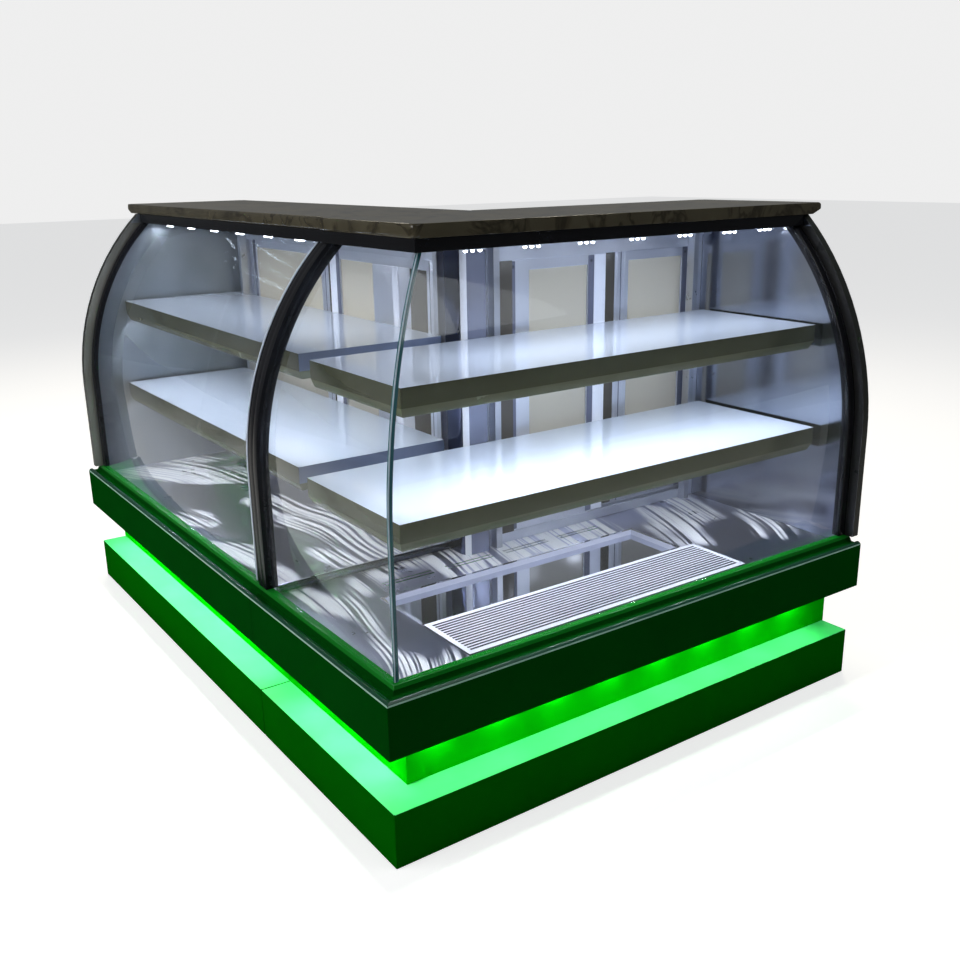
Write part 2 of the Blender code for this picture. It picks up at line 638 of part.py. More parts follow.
evaporator = fins(0.40, 1.00, 0.300, 0.420, FLOOR, 0.330, 24)
paint(place("evaporator_coil", evaporator), ALUMINIUM, 0.4, 1.0)
fan("evaporator_fan", 0.70, 0.225, 0.235, 0.080, 0.30, 0.0985)
condenser = fins(0.16, 0.48, 1.250, 1.330, FLOOR, 0.340, 16)
paint(place("condenser_coil", condenser), ALUMINIUM, 0.4, 1.0)
fan("condenser_fan", 0.32, 1.385, 0.240, 0.088, 0.16, 0.1035)
compressor = turned([(0.060, 0), (0.085, 0.012), (0.088, 0.085), (0.088, 0.125), (0.070, 0.172),
                     (0.030, 0.188)], (0.32, 1.720, FLOOR), (0, 0, 1))
paint(place("compressor", compressor), BLACK, 0.35)

# ---------------------------------------------------------------- controls at the back
PANEL_FACE = 0.650
panel = place("control_panel", block((1.150, REAR_OUT + GAP, 0.190), (1.350, PANEL_FACE, 0.340)))
SWITCH = Vector((1.305, 0.648, 0.265))
boolean(panel, block((SWITCH.x - 0.015, 0.638, SWITCH.z - 0.0215),
                     (SWITCH.x + 0.015, 0.66, SWITCH.z + 0.0215)), "DIFFERENCE")
paint(panel, BLACK, 0.4)

KNOB = Vector((1.215, PANEL_FACE + GAP, 0.265))
knob = turned([(0.019, 0), (0.0185, 0.002), (0.0150, 0.003), (0.0140, 0.0045)], KNOB, (0, 1, 0))
knob_obj = place("thermostat_knob", knob, KNOB)
boolean(knob_obj, block((KNOB.x - 0.0015, KNOB.y + 0.0035, KNOB.z), (KNOB.x + 0.0015, KNOB.y + 0.006, KNOB.z + 0.013)),
        "DIFFERENCE")
paint(knob_obj, BLACK, 0.4)

rocker_outline = [(-0.0045, -0.008), (-0.0010, -0.0185), (0.0030, -0.0185), (0.0012, 0.0),
                  (0.0030, 0.0185), (-0.0010, 0.0185), (-0.0045, 0.008)]
rocker = prism(rocker_outline, "x", -0.0125, 0.0125)
bmesh.ops.transform(rocker, matrix=Matrix.Rotation(math.radians(7), 4, "X"), verts=rocker.verts)
bmesh.ops.translate(rocker, verts=rocker.verts, vec=SWITCH)
paint(place("power_switch", rocker, SWITCH), (0.6, 0.02, 0.02), 0.35)

gland = turned([(0.013, 0), (0.013, 0.006), (0.010, 0.008), (0.010, 0.014), (0.008, 0.017)],
               (1.400, REAR_OUT + GAP, 0.200), (0, 1, 0), 16)
paint(place("cord_gland", gland), BLACK, 0.5)
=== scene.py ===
import json
import math

import bpy
from mathutils import Matrix, Vector

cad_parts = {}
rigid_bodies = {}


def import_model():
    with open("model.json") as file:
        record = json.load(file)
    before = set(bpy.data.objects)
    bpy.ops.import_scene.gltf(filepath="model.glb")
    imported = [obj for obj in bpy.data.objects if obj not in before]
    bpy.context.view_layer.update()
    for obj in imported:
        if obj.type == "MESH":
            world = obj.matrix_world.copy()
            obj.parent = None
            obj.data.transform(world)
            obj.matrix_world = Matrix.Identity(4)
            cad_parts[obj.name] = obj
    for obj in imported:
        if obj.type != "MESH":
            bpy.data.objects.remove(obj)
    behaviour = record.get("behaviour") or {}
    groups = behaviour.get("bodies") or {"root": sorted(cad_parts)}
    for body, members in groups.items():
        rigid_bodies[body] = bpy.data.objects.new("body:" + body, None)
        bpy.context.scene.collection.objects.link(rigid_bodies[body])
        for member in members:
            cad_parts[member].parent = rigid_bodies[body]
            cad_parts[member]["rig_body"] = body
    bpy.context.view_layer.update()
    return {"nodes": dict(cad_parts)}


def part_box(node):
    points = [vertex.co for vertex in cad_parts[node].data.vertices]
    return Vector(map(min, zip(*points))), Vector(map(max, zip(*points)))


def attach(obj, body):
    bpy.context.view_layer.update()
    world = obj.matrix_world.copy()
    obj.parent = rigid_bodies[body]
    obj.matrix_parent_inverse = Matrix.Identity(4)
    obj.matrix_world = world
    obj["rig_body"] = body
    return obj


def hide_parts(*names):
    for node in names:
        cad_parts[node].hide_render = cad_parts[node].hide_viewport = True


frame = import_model()
nodes = frame["nodes"]

# --------------------------------------------------------------------------- viewpoint
# The corner of the bent glass is the point that all plan sizes are taken from.
# The customer's eye is left of the corner, a little above the worktop.
corner = Vector((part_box("glass_side")[0].x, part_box("glass_front")[0].y, 0))
heading, tilt, lean = math.radians(34.81), math.radians(16.82), math.radians(-0.966)
ahead = Vector((math.sin(heading) * math.cos(tilt), math.cos(heading) * math.cos(tilt), -math.sin(tilt)))
level = Vector((math.cos(heading), -math.sin(heading), 0))
upward = level.cross(ahead)
side = level * math.cos(lean) + upward * math.sin(lean)
top = upward * math.cos(lean) - level * math.sin(lean)
camera = bpy.data.objects.new("camera", bpy.data.cameras.new("camera"))
bpy.context.scene.collection.objects.link(camera)
camera.matrix_world = Matrix.Translation(corner + Vector((-0.9368, -1.6619, 1.4153))) @ Matrix(
    (side, top, -ahead)).transposed().to_4x4()
camera.data.sensor_width = 36
camera.data.lens = 38.95
bpy.context.scene.camera = camera
bpy.context.scene.view_settings.view_transform = "Standard"

# --------------------------------------------------------------------------- studio
# A pale floor that runs to the horizon, a dim even room so that the case's own
# lamps show, and two soft boxes: a broad one over the left, a small one on the right.
world = bpy.data.worlds.new("studio")
bpy.context.scene.world = world
world.use_nodes = True
sky = world.node_tree.nodes["Background"]
backdrop = world.node_tree.nodes.new("ShaderNodeBackground")
seen = world.node_tree.nodes.new("ShaderNodeLightPath")
blend_sky = world.node_tree.nodes.new("ShaderNodeMixShader")
sky.inputs["Color"].default_value = (0.80, 0.85, 0.90, 1)
sky.inputs["Strength"].default_value = 0.15
backdrop.inputs["Color"].default_value = (0.86, 0.86, 0.86, 1)
backdrop.inputs["Strength"].default_value = 1.0
world.node_tree.links.new(seen.outputs["Is Camera Ray"], blend_sky.inputs[0])
world.node_tree.links.new(sky.outputs[0], blend_sky.inputs[1])
world.node_tree.links.new(backdrop.outputs[0], blend_sky.inputs[2])
world.node_tree.links.new(blend_sky.outputs[0], world.node_tree.nodes["World Output"].inputs[0])


def lamp(name, at, aim, power, width, depth, colour=(1, 1, 1)):
    """Hang a rectangular lamp at a point and turn it towards another."""
    light = bpy.data.lights.new(name, "AREA")
    light.shape = "RECTANGLE"
    light.size, light.size_y = width, depth
    light.energy, light.color = power, colour
    holder = bpy.data.objects.new(name, light)
    bpy.context.scene.collection.objects.link(holder)
    holder.location = at
    holder.rotation_euler = (Vector(aim) - Vector(at)).to_track_quat("-Z", "Y").to_euler()
    return holder


lamp("soft_box_left", (-4.6, 0.4, 2.7), (-0.4, 0, 0.5), 120, 3.0, 2.4)
lamp("soft_box_above", (0.6, -3.0, 5.5), (0, 0, 0), 70, 4.0, 3.0)
lamp("edge_light_right", (3.0, 1.2, 4.6), (0, 0, 1.3), 80, 1.0, 1.0, (1.0, 0.92, 0.75))
lamp("edge_light_rear", (0.6, 4.4, 4.3), (0, 0, 1.3), 80, 1.0, 1.0, (1.0, 0.92, 0.75))

bpy.ops.object.select_all(action="DESELECT")
bpy.ops.mesh.primitive_plane_add(size=60, location=(0, 0, 0))
floor = bpy.context.object
floor.name = "floor"
pale = bpy.data.materials.new("pale_floor")
pale.use_nodes = True
pale_shader = pale.node_tree.nodes["Principled BSDF"]
pale_shader.inputs["Base Color"].default_value = (0.60, 0.60, 0.60, 1)
pale_shader.inputs["Roughness"].default_value = 0.8
pale_shader.inputs["Specular IOR Level"].default_value = 0.1
pale_shader.inputs["Emission Color"].default_value = (1, 1, 1, 1)
floor_ray = pale.node_tree.nodes.new("ShaderNodeLightPath")
floor_glow = pale.node_tree.nodes.new("ShaderNodeMath")
floor_glow.operation = "MULTIPLY"
floor_glow.inputs[1].default_value = 0.66
pale.node_tree.links.new(floor_ray.outputs["Is Camera Ray"], floor_glow.inputs[0])
pale.node_tree.links.new(floor_glow.outputs[0], pale_shader.inputs["Emission Strength"])
floor.data.materials.append(pale)

# --------------------------------------------------------------------------- plinths
# Two boxes of painted board stand on the floor, one under each module. Their faces
# are deep green gloss; the ledge on top is painted a paler green, as painted lamp light from the toe lamps.


def finish(name, light, dark, rough, metal=0.0, grain=12.0, stretch=(1, 1, 1), relief=0.0, spread=0.25,
           shine=0.5):
    """Two tones mixed by a grain that also moves the roughness, with an optional relief."""
    made = bpy.data.materials.new(name)
    made.use_nodes = True
    tree = made.node_tree
    shader = tree.nodes["Principled BSDF"]
    place = tree.nodes.new("ShaderNodeTexCoord")
    scale = tree.nodes.new("ShaderNodeMapping")
    scale.inputs["Scale"].default_value = stretch
    noise = tree.nodes.new("ShaderNodeTexNoise")
    noise.inputs["Scale"].default_value = grain
    noise.inputs["Detail"].default_value = 6
    tones = tree.nodes.new("ShaderNodeMix")
    tones.data_type = "RGBA"
    tones.inputs[6].default_value = (*dark, 1)
    tones.inputs[7].default_value = (*light, 1)
    gloss = tree.nodes.new("ShaderNodeMapRange")
    gloss.inputs["To Min"].default_value = rough * (1 - spread)
    gloss.inputs["To Max"].default_value = rough * (1 + spread)
    tree.links.new(place.outputs["Object"], scale.inputs["Vector"])
    tree.links.new(scale.outputs["Vector"], noise.inputs["Vector"])
    tree.links.new(noise.outputs["Fac"], tones.inputs[0])
    tree.links.new(noise.outputs["Fac"], gloss.inputs["Value"])
    tree.links.new(tones.outputs[2], shader.inputs["Base Color"])
    tree.links.new(gloss.outputs["Result"], shader.inputs["Roughness"])
    shader.inputs["Metallic"].default_value = metal
    shader.inputs["Specular IOR Level"].default_value = shine
    if relief:
        bump = tree.nodes.new("ShaderNodeBump")
        bump.inputs["Strength"].default_value = relief
        bump.inputs["Distance"].default_value = 0.002
        tree.links.new(noise.outputs["Fac"], bump.inputs["Height"])
        tree.links.new(bump.outputs["Normal"], shader.inputs["Normal"])
    return made


def settle(piece, body, finishes, choose=None):
    """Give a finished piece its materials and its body."""
    piece.data.materials.clear()
    for made in finishes:
        piece.data.materials.append(made)
    for face in piece.data.polygons:
        face.material_index = choose(face) if choose else 0
    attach(piece, body)
    return piece


def eased(node, suffix, ease, finishes, choose=None, angle=30, merge=True):
    """Rework a frame node as a piece with merged faces and eased edges."""
    source = nodes[node]
    body = source["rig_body"]
    bpy.ops.object.select_all(action="DESELECT")
    piece = bpy.data.objects.new(node + "_" + suffix, source.data.copy())
    bpy.context.scene.collection.objects.link(piece)
    piece.select_set(True)
    bpy.context.view_layer.objects.active = piece
    bpy.ops.object.mode_set(mode="EDIT")
    bpy.ops.mesh.select_all(action="SELECT")
    bpy.ops.mesh.remove_doubles(threshold=0.00002)
    if merge:
        bpy.ops.mesh.dissolve_limited(angle_limit=math.radians(0.4))
    bpy.ops.object.mode_set(mode="OBJECT")
    if ease:
        bevel = piece.modifiers.new("ease", "BEVEL")
        bevel.width = ease
        bevel.segments = 2
        bevel.limit_method = "ANGLE"
        bevel.angle_limit = math.radians(angle)
        bevel.use_clamp_overlap = True
        bpy.ops.object.modifier_apply(modifier="ease")
    bpy.ops.object.shade_smooth_by_angle(angle=math.radians(35))
    if ease:
        piece.modifiers.new("level", "WEIGHTED_NORMAL").keep_sharp = True
        bpy.ops.object.modifier_apply(modifier="level")
    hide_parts(node)
    return settle(piece, body, finishes, choose)


plinth_green = finish("plinth_green", (0.001, 0.125, 0.001), (0.001, 0.090, 0.001), 0.35, grain=5,
                      relief=0.02, shine=0.0)
# The ledge's pale green is painted lamp light: the top faces get a paler copy of the plinth green.
ledge_painted_glow = finish("ledge_painted_glow", (0.14, 0.92, 0.33), (0.05, 0.80, 0.17), 0.55, grain=4, shine=0.1)
for node in ("plinth_front", "plinth_wing"):
    eased(node, "box", 0.0025, (plinth_green, ledge_painted_glow),
          lambda face: int(face.normal.z > 0.9 and face.center.z > 0.12))

# --------------------------------------------------------------------------- base cabinets
# Sheet-metal tubs stand back from the plinth and carry the deck. Their outer walls
# are sprayed a bright green, the floor and inside are the same.
cabinet_green = finish("cabinet_green", (0.001, 0.50, 0.002), (0.001, 0.42, 0.002), 0.32, grain=6, shine=0.0)
for node in ("base_front", "base_wing"):
    eased(node, "tub", 0.0010, (cabinet_green,))

# --------------------------------------------------------------------------- toe lamps
# A plastic channel behind the foot of the apron carries round lamp lenses at an even
# pitch. They wash the cabinet wall and the plinth's ledge with green light.
channel_white = finish("channel_white", (0.78, 0.82, 0.80), (0.70, 0.75, 0.72), 0.45, grain=30)
for node in ("apron_light_front", "apron_light_wing"):
    eased(node, "channel", 0.0015, (channel_white,))


def glowing(name, colour, strength):
    """A lens that is lit from inside, a little uneven across its face."""
    made = finish(name, colour, tuple(0.92 * c for c in colour), 0.3, grain=90)
    shader = made.node_tree.nodes["Principled BSDF"]
    shader.inputs["Emission Color"].default_value = (*colour, 1)
    shader.inputs["Emission Strength"].default_value = strength
    return made


def lens(name, at, radius, height, glow):
    """A shallow round dome with a flange, turned from a cylinder."""
    bpy.ops.object.select_all(action="DESELECT")
    bpy.ops.mesh.primitive_cylinder_add(vertices=20, radius=radius, depth=height, location=at)
    dome = bpy.context.object
    dome.name = name
    bpy.ops.object.transform_apply(location=True, rotation=True, scale=True)
    bpy.ops.object.mode_set(mode="EDIT")
    bpy.ops.mesh.select_all(action="DESELECT")
    bpy.ops.object.mode_set(mode="OBJECT")
    for face in dome.data.polygons:
        face.select = face.normal.z < -0.9
    bpy.ops.object.mode_set(mode="EDIT")
    bpy.ops.mesh.select_mode(type="FACE")
    bpy.ops.mesh.inset(thickness=radius * 0.3)
    bpy.ops.transform.translate(value=(0, 0, -height * 0.5))
    bpy.ops.mesh.inset(thickness=radius * 0.25)
    bpy.ops.transform.translate(value=(0, 0, -height * 0.25))
    bpy.ops.object.mode_set(mode="OBJECT")
    bpy.ops.object.shade_smooth_by_angle(angle=math.radians(60))
    return settle(dome, "case", (glow,))


toe_glow = glowing("toe_lens", (0.70, 1.0, 0.80), 8.0)
toe_pitch = 0.167
toe_depth = 0.020
toe_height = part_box("apron_light_front")[0].z - 0.0032
toe_spots = [("front", 0.122 + i * toe_pitch, toe_depth) for i in range(8)]
toe_spots += [("side", toe_depth, 0.122 + i * toe_pitch) for i in range(3)]
toe_spots += [("wing", toe_depth, 0.732 + i * toe_pitch) for i in range(8)]
for i, (run, x, y) in enumerate(toe_spots):
    spot = corner + Vector((x, y, toe_height))
    lens("toe_lens_" + run + "_" + str(i), spot, 0.006, 0.005, toe_glow)
    lamp("toe_lamp_" + str(i), spot - Vector((0, 0, 0.008)), spot + Vector((0, 0, -1)),
         0.20 if run == "front" else 0.40, 0.02, 0.02, (0.68, 1.0, 0.70))

# --------------------------------------------------------------------------- aprons
# Boxed panels in dark green gloss wrap the foot of the glass. The outer edge is chamfered,
# with a painted highlight on its arris and a painted teal sheen; a groove follows, and a lip painted brighter
# as painted lamp light holds the glass.
apron_green = finish("apron_green", (0.001, 0.060, 0.004), (0.001, 0.042, 0.003), 0.30, grain=4,
                     relief=0.015, shine=0.0)
# The chamfer's teal tone is a painted sheen, the lip's brighter green is painted lamp light and the pale
# arris is a painted highlight, all on the one green paint.
chamfer_painted_sheen = finish("chamfer_painted_sheen", (0.012, 0.070, 0.036), (0.007, 0.048, 0.024), 0.22, grain=6, shine=0.35)
lip_painted_lamplight = finish("lip_painted_lamplight", (0.003, 0.210, 0.013), (0.002, 0.150, 0.009), 0.20, grain=8, shine=0.15)
arris_painted_highlight = finish("arris_painted_highlight", (0.42, 0.66, 0.54), (0.22, 0.42, 0.32), 0.25, grain=30)
apron_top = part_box("apron_front")[1].z - 0.0127
edge_band = 0.0190


def apron_zone(face):
    """0 face and underside, 1 outer chamfer with a painted teal sheen, 2 lip at the glass painted bright as
    lamp light, 3 painted highlight on the arris.
    """
    high = face.center.z > apron_top - 0.0105 and face.normal.z > 0.15
    inward = min(face.center.x - corner.x, face.center.y - corner.y)
    if high and inward < -0.0436 and face.normal.z < 0.62:
        return 3
    if high and inward < -0.0466 + edge_band:
        return 1
    return 2 if face.center.z > apron_top + 0.0005 else 0


for node in ("apron_front", "apron_wing"):
    eased(node, "panel", 0.0018, (apron_green, chamfer_painted_sheen, lip_painted_lamplight, arris_painted_highlight),
          apron_zone)

# --------------------------------------------------------------------------- deck
# Stainless sheets lie on the cabinets. Rolling left them slightly wavy, so they
# draw the lamps out into long streaks, and more streaks are painted on as painted reflections of the lamps. A
# sunk pan and a return grille sit in them.


def rolled_steel(name, light, dark, rough, wave, wave_size, fine, stretch=(1, 1, 1)):
    """Bright metal with broad waves and fine rubbing marks."""
    made = finish(name, light, dark, rough, 1.0, grain=9, stretch=stretch)
    tree = made.node_tree
    shader = tree.nodes["Principled BSDF"]
    place = tree.nodes["Texture Coordinate"]
    waves = tree.nodes.new("ShaderNodeTexNoise")
    waves.inputs["Scale"].default_value = wave_size
    waves.inputs["Detail"].default_value = 1.5
    rubbing = tree.nodes.new("ShaderNodeTexNoise")
    rubbing.inputs["Scale"].default_value = 180
    rubbing.inputs["Detail"].default_value = 3
    broad = tree.nodes.new("ShaderNodeBump")
    broad.inputs["Strength"].default_value = wave
    broad.inputs["Distance"].default_value = 0.02
    small = tree.nodes.new("ShaderNodeBump")
    small.inputs["Strength"].default_value = fine
    small.inputs["Distance"].default_value = 0.0005
    tree.links.new(place.outputs["Object"], waves.inputs["Vector"])
    tree.links.new(tree.nodes["Mapping"].outputs["Vector"], rubbing.inputs["Vector"])
    tree.links.new(waves.outputs["Fac"], broad.inputs["Height"])
    tree.links.new(rubbing.outputs["Fac"], small.inputs["Height"])
    tree.links.new(broad.outputs["Normal"], small.inputs["Normal"])
    tree.links.new(small.outputs["Normal"], shader.inputs["Normal"])
    return made


deck_steel = rolled_steel("deck_steel", (0.64, 0.65, 0.80), (0.50, 0.51, 0.66), 0.30, 0.04, 5, 0.06)
deck_tree = deck_steel.node_tree
deck_shader = deck_tree.nodes["Principled BSDF"]
deck_shader.inputs["Anisotropic"].default_value = 0.93


def deck_node(kind, operation, *values):
    """Add a maths node to the deck's finish; each value is a number, a vector or a socket."""
    made = deck_tree.nodes.new("ShaderNode" + kind)
    if operation:
        made.operation = operation
    for socket, value in zip(made.inputs, values):
        if isinstance(value, bpy.types.NodeSocket):
            deck_tree.links.new(value, socket)
        else:
            socket.default_value = value
    return made.outputs[0]


# The sheet was buffed in long arcs about a point outside the corner. Bundles of
# streaks run out from that point, painted white as painted reflections of the lamps.
buff_and_streak_centre = corner + Vector((-0.90, -1.60, 0.3835))
place = deck_tree.nodes["Texture Coordinate"].outputs["Object"]
from_centre = deck_node("VectorMath", "SUBTRACT", place, buff_and_streak_centre)
around = deck_node("VectorMath", "CROSS_PRODUCT", (0, 0, 1), from_centre)
deck_tree.links.new(around, deck_shader.inputs["Tangent"])
parts = deck_tree.nodes.new("ShaderNodeSeparateXYZ")
deck_tree.links.new(from_centre, parts.inputs[0])
turn = deck_node("Math", "ARCTAN2", parts.outputs["Y"], parts.outputs["X"])
square = deck_node("VectorMath", "MULTIPLY", from_centre, from_centre)
reach = deck_node("VectorMath", "DOT_PRODUCT", square, (1, 1, 0))
reach = reach.node.outputs["Value"]
sway = deck_tree.nodes.new("ShaderNodeTexNoise")
sway.inputs["Scale"].default_value = 1.7
sway.inputs["Detail"].default_value = 1
deck_tree.links.new(place, sway.inputs["Vector"])
bent = deck_node("Math", "MULTIPLY_ADD", sway.outputs["Fac"], 0.07, turn)
bent = deck_node("Math", "MULTIPLY_ADD", reach, -0.030, bent)
streaks = []
for fineness, along, low, high in ((190, 0.22, 0.45, 0.51), (13, 0.5, 0.46, 0.52)):
    across = deck_node("Math", "MULTIPLY", bent, fineness)
    drawn = deck_node("Math", "MULTIPLY", reach, along)
    lined = deck_node("CombineXYZ", None, across, drawn, 0)
    streak_noise = deck_tree.nodes.new("ShaderNodeTexNoise")
    streak_noise.inputs["Scale"].default_value = 1
    streak_noise.inputs["Detail"].default_value = 1
    deck_tree.links.new(lined, streak_noise.inputs["Vector"])
    cut = deck_tree.nodes.new("ShaderNodeMapRange")
    cut.inputs["From Min"].default_value = low
    cut.inputs["From Max"].default_value = high
    deck_tree.links.new(streak_noise.outputs["Fac"], cut.inputs["Value"])
    streaks.append(cut.outputs["Result"])
# Where both streak masks meet, the sheet is painted white and not metallic: a painted reflection of the
# lamps.
bright = deck_node("Math", "MULTIPLY", *streaks)
dull = deck_node("Math", "SUBTRACT", 1.0, bright)
deck_tree.links.new(dull, deck_shader.inputs["Metallic"])
painted_glint_mix = deck_tree.nodes.new("ShaderNodeMix")
painted_glint_mix.data_type = "RGBA"
painted_glint_mix.inputs[7].default_value = (0.96, 0.97, 1.0, 1)
deck_tree.links.new(bright, painted_glint_mix.inputs[0])
deck_tree.links.new(deck_tree.nodes["Mix"].outputs[2], painted_glint_mix.inputs[6])
deck_tree.links.new(painted_glint_mix.outputs[2], deck_shader.inputs["Base Color"])
pan_steel = rolled_steel("pan_steel", (0.70, 0.72, 0.80), (0.60, 0.62, 0.70), 0.04, 0.003, 4, 0.02)
for node in ("deck_front", "deck_wing"):
    eased(node, "sheet", 0, (deck_steel,))
pan_wall = finish("pan_wall", (0.72, 0.74, 0.86), (0.58, 0.60, 0.72), 0.35, grain=20)
eased("deck_pan", "tray", 0.0004, (pan_steel, pan_wall),
      lambda face: int(abs(face.normal.z) < 0.5))

grille_white = finish("grille_white", (0.92, 0.94, 1.0), (0.82, 0.84, 0.96), 0.35, grain=40)
# The sides and undersides of the grille's bars are painted near black as painted shade between the bars.
grille_painted_shade = finish("grille_painted_shade", (0.045, 0.048, 0.075), (0.025, 0.027, 0.045), 0.6, grain=20)
eased("return_grille", "bars", 0.0003, (grille_white, grille_painted_shade),
      lambda face: int(face.normal.z < 0.5))
# The seam bar is one polished steel in two painted tones: dark flanks as a painted reflection of the dim
# room, a pale crown as a painted highlight of the lamps.
bar_painted_dark = rolled_steel("bar_painted_dark", (0.07, 0.075, 0.11), (0.03, 0.035, 0.05), 0.18, 0.05, 9, 0.05)
bar_painted_highlight = rolled_steel("bar_painted_highlight", (0.80, 0.82, 0.90), (0.66, 0.68, 0.76), 0.30, 0.05, 9, 0.05)
eased("seam_bar", "tube", 0, (bar_painted_dark, bar_painted_highlight),
      lambda face: int(face.normal.z > 0.965))

# --------------------------------------------------------------------------- corner post
# A polished stainless column with a rounded nose closes the inner corner. The nose is painted
# pale as a painted highlight of the lamps; the flank to the wing is painted dark and the one to the front
# paler, as painted reflections.
nose_steel = rolled_steel("nose_steel", (0.96, 0.97, 1.0), (0.80, 0.82, 0.92), 0.24, 0.20, 9, 0.20,
                          (1, 1, 0.1))
nose_steel.node_tree.nodes["Principled BSDF"].inputs["Metallic"].default_value = 0.20
flank_steel = rolled_steel("flank_steel", (0.10, 0.115, 0.19), (0.03, 0.035, 0.07), 0.16, 0.20, 6, 0.10,
                           (1, 1, 0.2))
front_steel = rolled_steel("front_steel", (0.32, 0.34, 0.45), (0.14, 0.155, 0.23), 0.24, 0.20, 6, 0.10,
                           (1, 1, 0.2))
front_steel.node_tree.nodes["Principled BSDF"].inputs["Metallic"].default_value = 0.6
eased("corner_post", "column", 0, (nose_steel, flank_steel, front_steel),
      lambda face: 2 if face.normal.y < -0.97 else int(face.normal.y > -0.50 or face.normal.x > 0))

# --------------------------------------------------------------------------- rear frames and doors
# Extruded anodised frames close the staff side, each with two sliding sashes on two
# tracks. The panes are a milky warm tint. Screws hold each sash at its top corners.
frame_silver = finish("frame_silver", (0.70, 0.73, 0.82), (0.60, 0.63, 0.72), 0.34, 0.85, grain=14,
                      stretch=(1, 1, 0.08), relief=0.02)
sash_silver = finish("sash_silver", (0.80, 0.83, 0.92), (0.70, 0.73, 0.82), 0.30, 0.75, grain=14,
                     stretch=(1, 1, 0.08), relief=0.02)
milky = finish("milky_pane", (0.60, 0.56, 0.46), (0.34, 0.33, 0.31), 0.16, grain=3.0, stretch=(1, 1, 0.5))
milky_tree = milky.node_tree
milky_tree.nodes["Principled BSDF"].inputs["Alpha"].default_value = 0.9
axes = milky_tree.nodes.new("ShaderNodeSeparateXYZ")
fade = milky_tree.nodes.new("ShaderNodeMapRange")
fade.inputs["From Min"].default_value = 0.55
fade.inputs["From Max"].default_value = 1.15
cloud = milky_tree.nodes.new("ShaderNodeMath")
cloud.operation = "MULTIPLY_ADD"
cloud.inputs[1].default_value = 0.6
milky_tree.links.new(milky_tree.nodes["Texture Coordinate"].outputs["Object"], axes.inputs[0])
milky_tree.links.new(axes.outputs["Z"], fade.inputs["Value"])
milky_tree.links.new(milky_tree.nodes["Noise Texture"].outputs["Fac"], cloud.inputs[0])
milky_tree.links.new(fade.outputs["Result"], cloud.inputs[2])
milky_tree.links.new(cloud.outputs["Value"], milky_tree.nodes["Mix"].inputs[0])
for node in ("rear_frame_front", "rear_frame_wing"):
    eased(node, "extrusion", 0.0012, (frame_silver,))
doors = ("door_front_inner", "door_front_outer", "door_wing_inner", "door_wing_outer")
for node in doors:
    eased(node, "sash", 0.0015, (sash_silver,))
    eased(node + "_pane", "sheet", 0.0006, (milky,))


def bar(name, low, high, ease, body, made):
    """A straight bar between two corner points, with eased edges."""
    low, high = Vector(low), Vector(high)
    bpy.ops.object.select_all(action="DESELECT")
    bpy.ops.mesh.primitive_cube_add(size=1, location=(low + high) / 2, scale=high - low)
    piece = bpy.context.object
    piece.name = name
    bpy.ops.object.transform_apply(location=True, rotation=True, scale=True)
    edge = piece.modifiers.new("ease", "BEVEL")
    edge.width = ease
    edge.segments = 3
    bpy.ops.object.modifier_apply(modifier="ease")
    bpy.ops.object.shade_smooth_by_angle(angle=math.radians(35))
    return settle(piece, body, (made,))


# Each sash carries a dark gasket along its pane, ribs on the meeting stile, dark
# screws at the top corners, and a strip of plain protective film not yet peeled off.
gasket_grey = finish("gasket_grey", (0.14, 0.155, 0.23), (0.09, 0.10, 0.16), 0.45, grain=30,
                     stretch=(1, 1, 0.2))
smoke_strip = finish("smoke_strip", (0.105, 0.092, 0.074), (0.040, 0.036, 0.032), 0.25, grain=7,
                     stretch=(1, 1, 0.4))
film_white = finish("film_white", (0.86, 0.90, 0.99), (0.76, 0.80, 0.92), 0.30, grain=25, relief=0.05)
screw_steel = finish("screw_steel", (0.07, 0.075, 0.10), (0.04, 0.045, 0.06), 0.35, 0.6, grain=60)
sash_fittings = {
    "inner": (("gasket_left", 0, 0.0080, 0.0220, gasket_grey),
              ("gasket_right", 1, -0.0660, -0.0445, gasket_grey), ("film", 1, -0.0440, -0.0020, film_white)),
    "outer": (("infill", 0, 0.0255, 0.0780, smoke_strip), ("rib_a", 0, 0.0860, 0.0900, sash_silver),
              ("rib_b", 0, 0.1010, 0.1040, gasket_grey), ("rib_c", 0, 0.1160, 0.1200, sash_silver),
              ("gasket_right", 1, -0.0370, -0.0155, gasket_grey), ("film", 1, -0.0150, -0.0080, film_white)),
}
strip_proud = 0.0009
pane_recess = 0.0052
lower_rail, upper_rail = 0.0560, 0.0400
wing_infill = (("infill", 0.0360, 0.1225, -strip_proud, smoke_strip),
               ("mullion", 0.1225, 0.3395, 0.0030, sash_silver),
               ("wide_film", 0.1925, 0.2255, 0.0021, film_white))
screw_radius = 0.0045
screw_drop = 0.028
